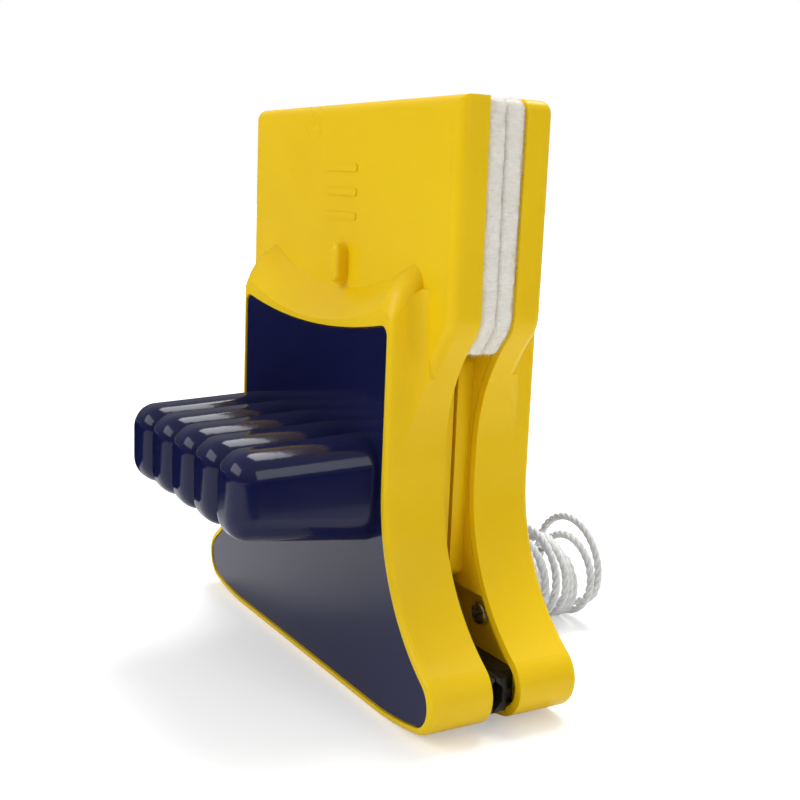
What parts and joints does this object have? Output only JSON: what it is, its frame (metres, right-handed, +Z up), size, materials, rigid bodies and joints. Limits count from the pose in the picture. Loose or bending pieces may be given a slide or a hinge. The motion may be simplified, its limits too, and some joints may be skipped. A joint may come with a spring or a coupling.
{
  "type": "magnetic glass cleaner",
  "caption": "Two wiper halves with felt pads and rubber blades that hold each other through a window by magnets; finger grip on one half, safety rope on the other.",
  "frame": {"origin": "middle of the footprint of both halves and the finger grip, on the surface they stand on; the rope is left out", "axes": "+Z up, along the halves' height; +Y from the half with the finger grip to the half with the rope, through the pane; +X to the right as seen looking along +Y"},
  "size_m": [0.1326, 0.125, 0.145],
  "materials": {
    "yellow_plastic": "injection-moulded, satin gloss",
    "navy_plastic": "high gloss",
    "magnet_nickel": "nickel plated",
    "zinc_steel": "zinc plated",
    "white_felt": "dense wool felt",
    "white_tape": "matt",
    "black_rubber": "matt",
    "black_plastic": "matt",
    "screw_steel": "bright zinc",
    "white_rope": "twisted polyamide cord"
  },
  "bodies": {
    "inner_half": {"inner_shell": "yellow_plastic", "inner_panel": "navy_plastic", "inner_magnet_cover": "yellow_plastic", "inner_magnets": "magnet_nickel", "inner_yoke": "zinc_steel", "inner_pad": "white_felt", "inner_pad_tape": "white_tape", "inner_blade": "black_rubber", "inner_blade_holder": "black_plastic", "inner_cover_screws": "screw_steel", "inner_pad_seat_screws": "screw_steel", "inner_blade_screws": "screw_steel", "grip_handle": "navy_plastic", "grip_screws": "screw_steel"},
    "outer_half": {"outer_shell": "yellow_plastic", "outer_panel": "navy_plastic", "outer_magnet_cover": "yellow_plastic", "outer_magnets": "magnet_nickel", "outer_yoke": "zinc_steel", "outer_pad": "white_felt", "outer_pad_tape": "white_tape", "outer_blade": "black_rubber", "outer_blade_holder": "black_plastic", "outer_cover_screws": "screw_steel", "outer_pad_seat_screws": "screw_steel", "outer_blade_screws": "screw_steel", "rope_knot": "white_rope", "rope_lead": "white_rope", "rope_coil": "white_rope", "rope_tail": "white_rope", "finger_ring": "navy_plastic"}
  },
  "joints": [
    {"name": "pane_gap", "type": "slide", "parent": "inner_half", "child": "outer_half", "axis": [0, 1, 0], "range_m": [0, 0.03]}
  ]
}
